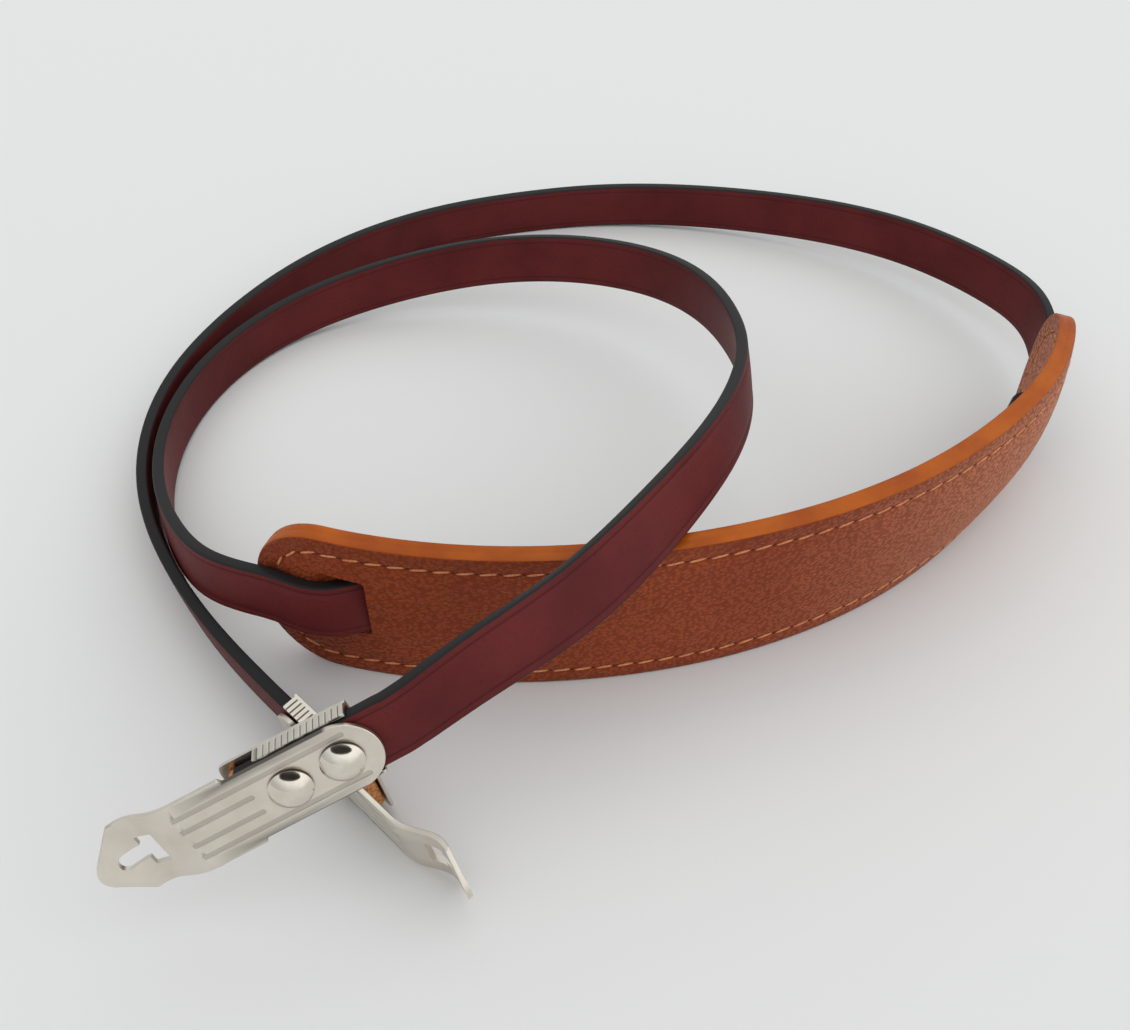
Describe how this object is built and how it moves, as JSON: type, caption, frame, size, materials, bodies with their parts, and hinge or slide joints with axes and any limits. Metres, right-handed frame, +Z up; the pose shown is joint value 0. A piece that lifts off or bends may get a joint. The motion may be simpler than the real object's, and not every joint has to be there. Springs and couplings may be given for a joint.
{
  "type": "camera neck strap",
  "caption": "Flat leather neck strap with a padded shoulder piece threaded on it and a riveted keyhole clip at each end, laid down as a loose double loop.",
  "frame": {"origin": "under the middle of the laid strap, on the table", "axes": "+Z up from the table, +Y away from the viewer, +X to the viewer's right"},
  "size_m": [0.2136, 0.2208, 0.0497],
  "materials": {
    "strap_leather": "smooth burgundy leather with black painted edges",
    "pad_leather": "pebbled tan leather with orange painted edges",
    "clip_metal": "satin nickel plate",
    "rivet_metal": "polished nickel"
  },
  "bodies": {
    "root": {"strap": "strap_leather", "pad": "pad_leather", "clip_a_plate": "clip_metal", "clip_a_channel": "clip_metal", "clip_a_rivet_1": "rivet_metal", "clip_a_rivet_2": "rivet_metal", "clip_b_plate": "clip_metal", "clip_b_channel": "clip_metal", "clip_b_rivet_1": "rivet_metal", "clip_b_rivet_2": "rivet_metal"}
  },
  "joints": []
}
